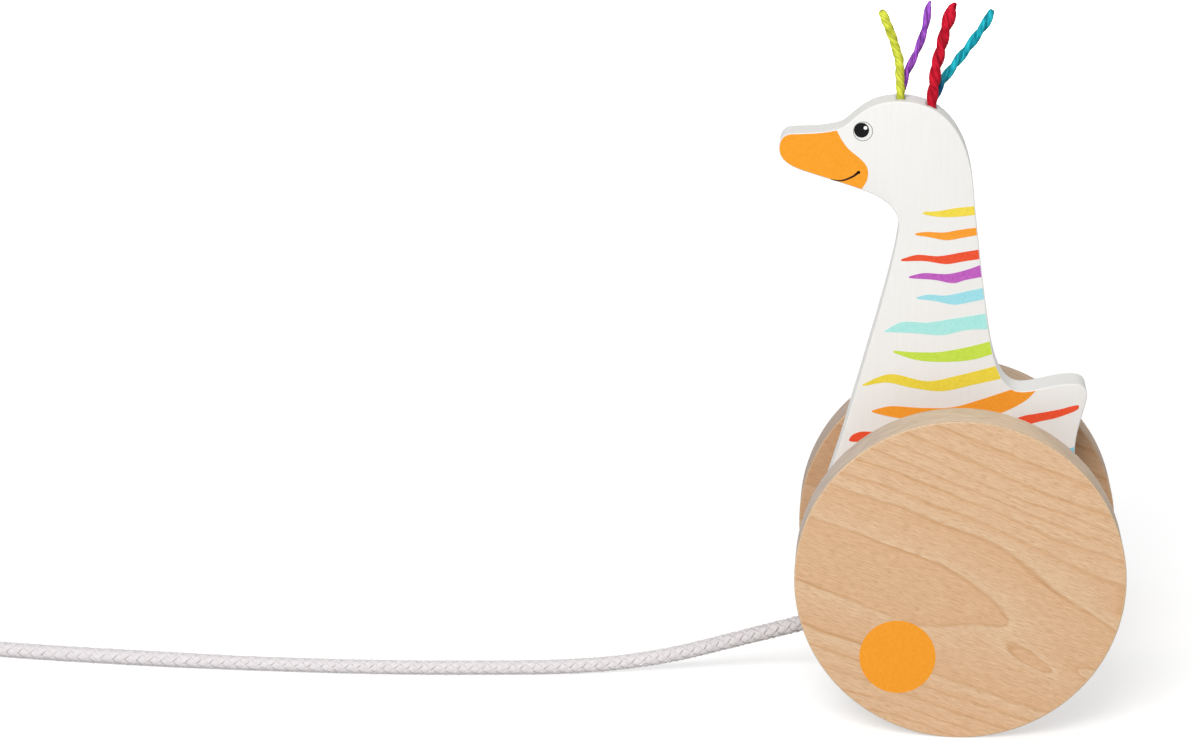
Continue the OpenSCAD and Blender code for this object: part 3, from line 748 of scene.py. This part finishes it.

# Braided polyester gives soft white strands with fine threads along them, darker near the wheels, which is
# painted shade of the wheels. The threads are drawn about 0.2 mm wide, coarser than the real 0.02 mm.
painted_shade_reach_mm, deepest_painted_shade = 120.0, 0.73
braid_fibre, tree, shader, own = new_finish("braided_white_polyester", along=True)
fibres = streaks(tree, own, (0.25, 14.0, 1), detail=4.0)
braid_colour = add(tree, "ValToRGB", {"Fac": fibres}, stops=[(0.3, "#E5DFE0"), (0.62, "#F5F0F1")])
along = add(tree, "SeparateXYZ", {"Vector": own}).outputs["X"]
# Painted shade: the cord darkens over its first length from the whipping, and its eye is darkest.
painted_wheel_shade = add(tree, "MapRange", {"Value": along, "From Max": painted_shade_reach_mm,
                                "To Min": deepest_painted_shade, "To Max": 1.0})
braid_painted_shade = add(tree, "VectorMath", {0: braid_colour, "Scale": painted_wheel_shade}, operation="SCALE")
braid_bump = add(tree, "Bump", {"Height": fibres, "Distance": 0.2 * MM, "Strength": 0.6})
join(tree, shader, {"Base Color": braid_painted_shade, "Normal": braid_bump, "Roughness": 0.8,
                    "Specular IOR Level": 0.2})

# The braid's sizes are shares of the cord's thickness, apart from its lead and the lengths of its waves.
braid_lead, braid_strands = 17.6 * MM, 4
strand_middle, strand_weave, strand_half_wide, strand_half_thick = 0.385, 0.045, 0.29, 0.075
core_half, core_sides = 0.41, 16
weave_wave, weave_wave_mm = 0.12, 6.1
strand_wave, strand_wave_mm = 0.06, 3.7
slack_start, slack_reach = 1.2, 100 * MM
even_braid = ((0, 1.0), (1, 1.0))


def add_braid(bm, line, side, seed, thick=cord_thick, begins=0.0, loosened=0.0, fullness=even_braid):
    """A round braid along a line: strands wind both ways round a core, over and under, loosened at its start.
    Where it is fuller, it swells upwards, because it lies on the floor."""
    frames = carried(line, side)
    draw = random.Random(seed)
    middle, weave = strand_middle * thick, strand_weave * thick
    for direction in (1, -1):
        for strand in range(braid_strands):
            wander = draw.uniform(0, math.tau)
            centres, outs, swell = [], [], []
            for distance, point, across, lift in frames:
                turn = direction * math.tau * distance / braid_lead + math.tau * strand / braid_strands
                over = direction * math.cos(math.tau * braid_strands * distance / braid_lead)
                out = across * math.cos(turn) + lift * math.sin(turn)
                slack = max(0, slack_start - distance / slack_reach) * loosened
                loose = 1 + weave_wave * math.sin(distance / (weave_wave_mm * MM) + wander) + slack
                full = between(fullness, distance / MM)
                centres.append(point + out * (middle * (1 + (full - 1) * (1 + out.z)) + weave * over * loose))
                outs.append(out)
                wave = math.sin(distance / (strand_wave_mm * MM) + 2 * wander)
                swell.append(full * (1 + strand_wave * wave))
            add_strand(bm, centres, outs, strand_half_wide * thick, strand_half_thick * thick, swell,
                       begins=begins)
    core_swell = [between(fullness, f[0] / MM) for f in frames]
    core = core_half * thick
    add_strand(bm, line, [f[2] for f in frames], core, core, core_swell, core_sides, begins)


def at_spool(u, v):
    """The point at u along the cord from the axle and v square to it, in mm, in the middle of the spool."""
    return spool_middle + (cord_way * u + cord_side * v) * MM


# The eye: out of the whipping on one side, round the spool and back; it lies before the cord's own length.
eye_radius, leg_spread, leg_inside, eye_begins = 10.55, 2.75, 4, -100.0
whipping_start, whipping_end = 22.0, 32.0
eye_leg = [(whipping_start + leg_inside, leg_spread), (whipping_start, leg_spread), (17, leg_spread),
           (14, 3.2), (11.5, 4.3), (9.2, 6)]
eye_turns = [math.radians(a) for a in range(50, 311, 20)]
eye_bow = [(eye_radius * math.cos(a), eye_radius * math.sin(a)) for a in eye_turns]
eye_points = eye_leg + eye_bow + [(u, -v) for u, v in reversed(eye_leg)]
eye_mesh = bmesh.new()
add_braid(eye_mesh, even_line([at_spool(*p) for p in eye_points], cord_step), Vector((0, 1, 0)), "eye",
          begins=eye_begins)
cord_eye = piece("cord_eye", eye_mesh, [braid_fibre], "tow", "cord", "pull_cord_eye")

# The cord's run: straight out of the whipping, down under its own weight, then along the floor.
lie_z, coil_z, straight_out = 2.6, 3.65, 5
run_points = [(-38, 16, 26.2), (-47, 16, 21.8), (-56, 16, 18.8), (-66, 16, 15.9), (-76, 16, 13),
              (-86, 16, 10.1), (-96, 15.8, 7.4), (-106, 15.4, 5.3), (-118, 14, 3.7), (-130, 12.4, 2.9),
              (-142, 10.8, lie_z), (-156, 9.2, lie_z), (-170, 8, lie_z), (-188, 6.6, lie_z),
              (-208, 6, lie_z), (-230, 6, lie_z), (-250, 6.5, lie_z), (-271, 7.4, lie_z),
              (-290, 8.8, lie_z), (-310, 10.6, lie_z), (-328, 12.5, lie_z), (-344, 14.3, 2.8),
              (-357, 15.6, 3.45), (-367, 16, coil_z)]

# The coil: from its lead inwards, turn beside turn, then a short bend up to the knot in its middle.
coil_lead = Vector((-373, 16, coil_z))
coil_radius, coil_pitch, coil_turns, loop_points = 33, 5.8, 2.1, 24
coil_middle = coil_lead - Vector((straight_out, coil_radius, 0))
end_radius, end_sweep, end_steps, knot_z, knot_lead = 10.5, 100, 8, 6.6, 5


def spoke(angle):
    """The level direction at an angle in radians."""
    return Vector((math.cos(angle), math.sin(angle), 0))


coil_points = [coil_lead]
for i in range(round(coil_turns * loop_points) + 1):
    turn = i / loop_points
    coil_points.append(coil_middle + (coil_radius - coil_pitch * turn) * spoke(math.radians(90 + 360 * turn)))
end_angle = 90 + 360 * coil_turns
end_spoke = spoke(math.radians(end_angle))
end_hub = coil_middle + (coil_radius - coil_pitch * coil_turns - end_radius) * end_spoke
for i in range(1, end_steps + 1):
    share = i / end_steps
    rise = (knot_z - coil_z) * share * share * (3 - 2 * share)
    coil_points.append(end_hub + end_radius * spoke(math.radians(end_angle + end_sweep * share))
                       + Vector((0, 0, rise)))
knot_way = spoke(math.radians(end_angle + end_sweep + 90))
knot_start = coil_points[-1] + knot_lead * knot_way
coil_points.append(knot_start)
cord_exit = at_spool(whipping_end, 0)
cord_start = [cord_exit, at_spool(whipping_end + straight_out, 0)]
cord_line = even_line(cord_start + mm_points(run_points) + mm_points(coil_points), cord_step)
cord_length = sum((b - a).length for a, b in zip(cord_line, cord_line[1:]))
cord_fullness = ((0, 1.03), (110, 1.03), (140, 1.0), (235, 1.0), (260, 1.09), (345, 1.09), (380, 1.0))
cord_mesh, cord_loosened = bmesh.new(), 1.7
add_braid(cord_mesh, cord_line, Vector((0, 1, 0)), "cord", loosened=cord_loosened, fullness=cord_fullness)
pull_cord = piece("pull_cord", cord_mesh, [braid_fibre], "tow", "cord", "pull_cord_run", "pull_cord_coil")

# Whipping: waxed cotton thread that closes the cord's eye.
# It is wound tightly round both legs of the eye, drawing in to the single cord, with its ends tucked under.
thread_half, thread_sides, whipping_turns, turn_points, whipping_flat = 0.3, 6, 16, 28, 4

# Waxed thread gives a creamy, slightly shiny line with a slanting twist, about 0.7 mm from strand to strand.
thread_fibre, tree, shader, own = new_finish("waxed_cotton_thread", along=True)
thread_twist = add(tree, "TexWave", {"Vector": own, "Scale": 0.9, "Distortion": 1.0},
                   bands_direction="DIAGONAL").outputs["Fac"]
thread_colour = add(tree, "ValToRGB", {"Fac": thread_twist}, stops=[(0.2, "#CFC7BA"), (0.8, "#EAE4DA")])
thread_bump = add(tree, "Bump", {"Height": thread_twist, "Distance": 0.05 * MM, "Strength": 0.6})
join(tree, shader, {"Base Color": thread_colour, "Normal": thread_bump, "Roughness": 0.55})


def flat_sided(angle, sharpness):
    """The share of its spread that a winding round two cords has at an angle, full on each side."""
    return math.copysign(min(1.0, abs(sharpness * math.cos(angle))), math.cos(angle))


whipping_line, whipping_outs = [], []
whipping_reach = half_cord + thread_half
for i in range(whipping_turns * turn_points + 1):
    turn = i / turn_points
    share = turn / whipping_turns
    angle = math.tau * turn
    u = whipping_start + thread_half + (whipping_end - whipping_start - 2 * thread_half) * share
    spread = leg_spread * min(1.0, 2.0 * (1 - share)) * flat_sided(angle, whipping_flat)
    whipping_line.append(at_spool(u, spread + whipping_reach * math.cos(angle))
                         + Vector((0, whipping_reach * math.sin(angle), 0)) * MM)
    whipping_outs.append(cord_side * math.cos(angle) + Vector((0, math.sin(angle), 0)))
whipping_mesh = bmesh.new()
add_strand(whipping_mesh, whipping_line, whipping_outs, thread_half * MM, thread_half * MM,
           sides=thread_sides)
whipping = piece("cord_whipping", whipping_mesh, [thread_fibre], "tow", "thread", "pull_cord_whipping")

# Tie: a short length of woven cotton tape that keeps the coil together.
# It is wrapped round two turns of the coil, and its end is tucked over its beginning.
tape_half_wide, tape_half_thick, tape_lap, tape_sides = 2 * MM, 0.3 * MM, 0.3, 12
tie_middle = (coil_middle - Vector((0, coil_radius - coil_pitch, 0))) * MM
tie_spread, tie_reach, tie_flat, tie_overlap, tie_points = 2.9, 3.2, 3, 1.12, 48
tie_start = math.radians(60)

# Woven tape gives a dull, creamy band with ribs across it, about 0.2 mm apart.
tape_weave, tree, shader, own = new_finish("woven_cotton_tape", along=True)
weave = add(tree, "TexWave", {"Vector": own, "Scale": 1.6, "Distortion": 0.4}).outputs["Fac"]
tape_colour = add(tree, "ValToRGB", {"Fac": weave}, stops=[(0.2, "#D9D2C4"), (0.8, "#F1ECE2")])
tape_bump = add(tree, "Bump", {"Height": weave, "Distance": 0.1 * MM, "Strength": 0.6})
join(tree, shader, {"Base Color": tape_colour, "Normal": tape_bump, "Roughness": 0.85})
tie_line, tie_outs = [], []
for i in range(round(tie_overlap * tie_points) + 1):
    angle = tie_start + math.tau * i / tie_points
    spread = tie_spread * flat_sided(angle, tie_flat)
    reach = tie_reach + (tape_lap if i > tie_points else 0.0)
    tie_line.append(tie_middle + Vector((0, spread + reach * math.cos(angle), reach * math.sin(angle))) * MM)
    tie_outs.append(Vector((0, math.cos(angle), math.sin(angle))))
tie_mesh = bmesh.new()
add_strand(tie_mesh, tie_line, tie_outs, tape_half_wide, tape_half_thick, sides=tape_sides)
tie = piece("coil_tape", tie_mesh, [tape_weave], "tow", "tape", "coil_tie")

# Stopper knot: the cord's own end, which a child holds and which keeps the braid from coming undone.
# It is wound twice round itself and drawn tight, and its short tail is melted to a blunt tip.
knot_length, knot_stub, knot_wrap, knot_wraps = 12.0, 6.0, 4.2, 2.2
knot_thick, knot_inset, knot_points, knot_steep, tip_sides = 4.4 * MM, 1.8, 60, 9, 24
tip_rings = ((-1.8, 0.94), (-1.3, 1.06), (-0.4, 1.04), (0.2, 0.85), (0.5, 0.5))
upwards = Vector((0, 0, 1))
knot_across = Vector((-knot_way.y, knot_way.x, 0))


def on_knot(along):
    """The point on the knot's middle line, a length in mm past its start."""
    return (knot_start + knot_way * along) * MM


core_places = (-1, 3, 6, 9, knot_length, knot_length + knot_stub - 1)
knot_turns = []
for i in range(knot_points + 1):
    share = i / knot_points
    angle = math.tau * knot_wraps * share
    reach = knot_wrap * min(1.0, knot_steep * share, knot_steep * (1 - share))
    out = knot_across * math.cos(angle) + upwards * math.sin(angle)
    along = knot_inset + (knot_length - 2 * knot_inset) * share
    knot_turns.append((knot_start + knot_way * along + out * reach) * MM)
knot_mesh, knot_begins = bmesh.new(), cord_length / MM
knot_core = even_line([on_knot(d) for d in core_places], cord_step)
add_braid(knot_mesh, knot_core, upwards, "core", begins=knot_begins)
add_braid(knot_mesh, even_line(knot_turns, cord_step), knot_way, "wraps", knot_thick, knot_begins)
tip_line = [on_knot(knot_length + knot_stub + d) for d, _ in tip_rings]
add_strand(knot_mesh, tip_line, [upwards] * len(tip_rings), cord_thick / 2, cord_thick / 2,
           [size for _, size in tip_rings], tip_sides, knot_begins)
knot = piece("cord_knot", knot_mesh, [braid_fibre], "tow", "cord", "pull_cord_knot")

# Studio: a white paper floor, a large soft lamp in front at the left, white walls all round, and a low lamp
# behind that lights the far sides and stays out of reflections.
# The camera stands in front and a little above, at the photograph's angle, with a long lens.
floor_size, wall_level = 12.0, 0.27

# Each lamp: its name, its place and size in metres, its power in watts, and whether reflections show it.
lamps = (("key_lamp", (-0.34, -1.42, 1.2), 0.8, 24.8, True),
         ("back_lamp", (0.0, 1.75, 0.5), 0.9, 12.7, False))
lamp_aim = Vector((0, 0, 0.1))
camera_place, camera_pitch, camera_turn = Vector((-30.1, -1173.9, 415.6)) * MM, 14.45, 4.54
camera_sensor, camera_lens = 36, 106.5


def seen(tree):
    """1 for rays that show a thing to the camera, in a mirror or through glass, and 0 for rays that light."""
    rays = add(tree, "LightPath").outputs
    straight = add(tree, "Math", {0: rays["Is Camera Ray"], 1: rays["Is Glossy Ray"]}, operation="MAXIMUM")
    return add(tree, "Math", {0: straight, 1: rays["Is Transmission Ray"]}, operation="MAXIMUM")


# Studio paper gives an even white that takes the object's shadow and fades to pure white away from it.
paper, tree, shader, place = new_finish("white_studio_paper")
away = add(tree, "VectorMath", {0: place}, operation="LENGTH").outputs["Value"]
farther = add(tree, "MapRange", {"Value": away, "From Min": 0.3, "From Max": 3.0,
                                 "To Min": 0.55, "To Max": 1.0})
glow = add(tree, "Math", {0: seen(tree), 1: farther}, operation="MULTIPLY")
join(tree, shader, {"Base Color": "#D2D2D2", "Roughness": 0.9, "Emission Color": "#FFFFFF",
                    "Emission Strength": glow})
floor_mesh = bmesh.new()
bmesh.ops.create_grid(floor_mesh, x_segments=1, y_segments=1, size=floor_size)
floor = placed("studio_floor", mesh_of("studio_floor", floor_mesh, [paper]))

world = bpy.data.worlds.new("white_studio")
world.use_nodes = True
tree = world.node_tree
strength = add(tree, "MapRange", {"Value": seen(tree), "To Min": wall_level, "To Max": 1.0})
join(tree, tree.nodes["Background"], {"Color": "#FFFFFF", "Strength": strength})
bpy.context.scene.world = world

for name, place, size, power, mirrored in lamps:
    lamp = bpy.data.lights.new(name, "AREA")
    lamp.size = size
    lamp.energy = power
    holder = placed(name, lamp)
    holder.location = place
    holder.visible_glossy = mirrored
    holder.rotation_euler = (lamp_aim - Vector(place)).to_track_quat("-Z", "Y").to_euler()

camera_data = bpy.data.cameras.new("camera")
camera_data.sensor_width = camera_sensor
camera_data.lens = camera_lens
camera = placed("camera", camera_data)
camera.location = camera_place
camera.rotation_euler = (math.radians(90 - camera_pitch), 0, math.radians(camera_turn))
bpy.context.scene.camera = camera
bpy.context.scene.view_settings.view_transform = "Standard"
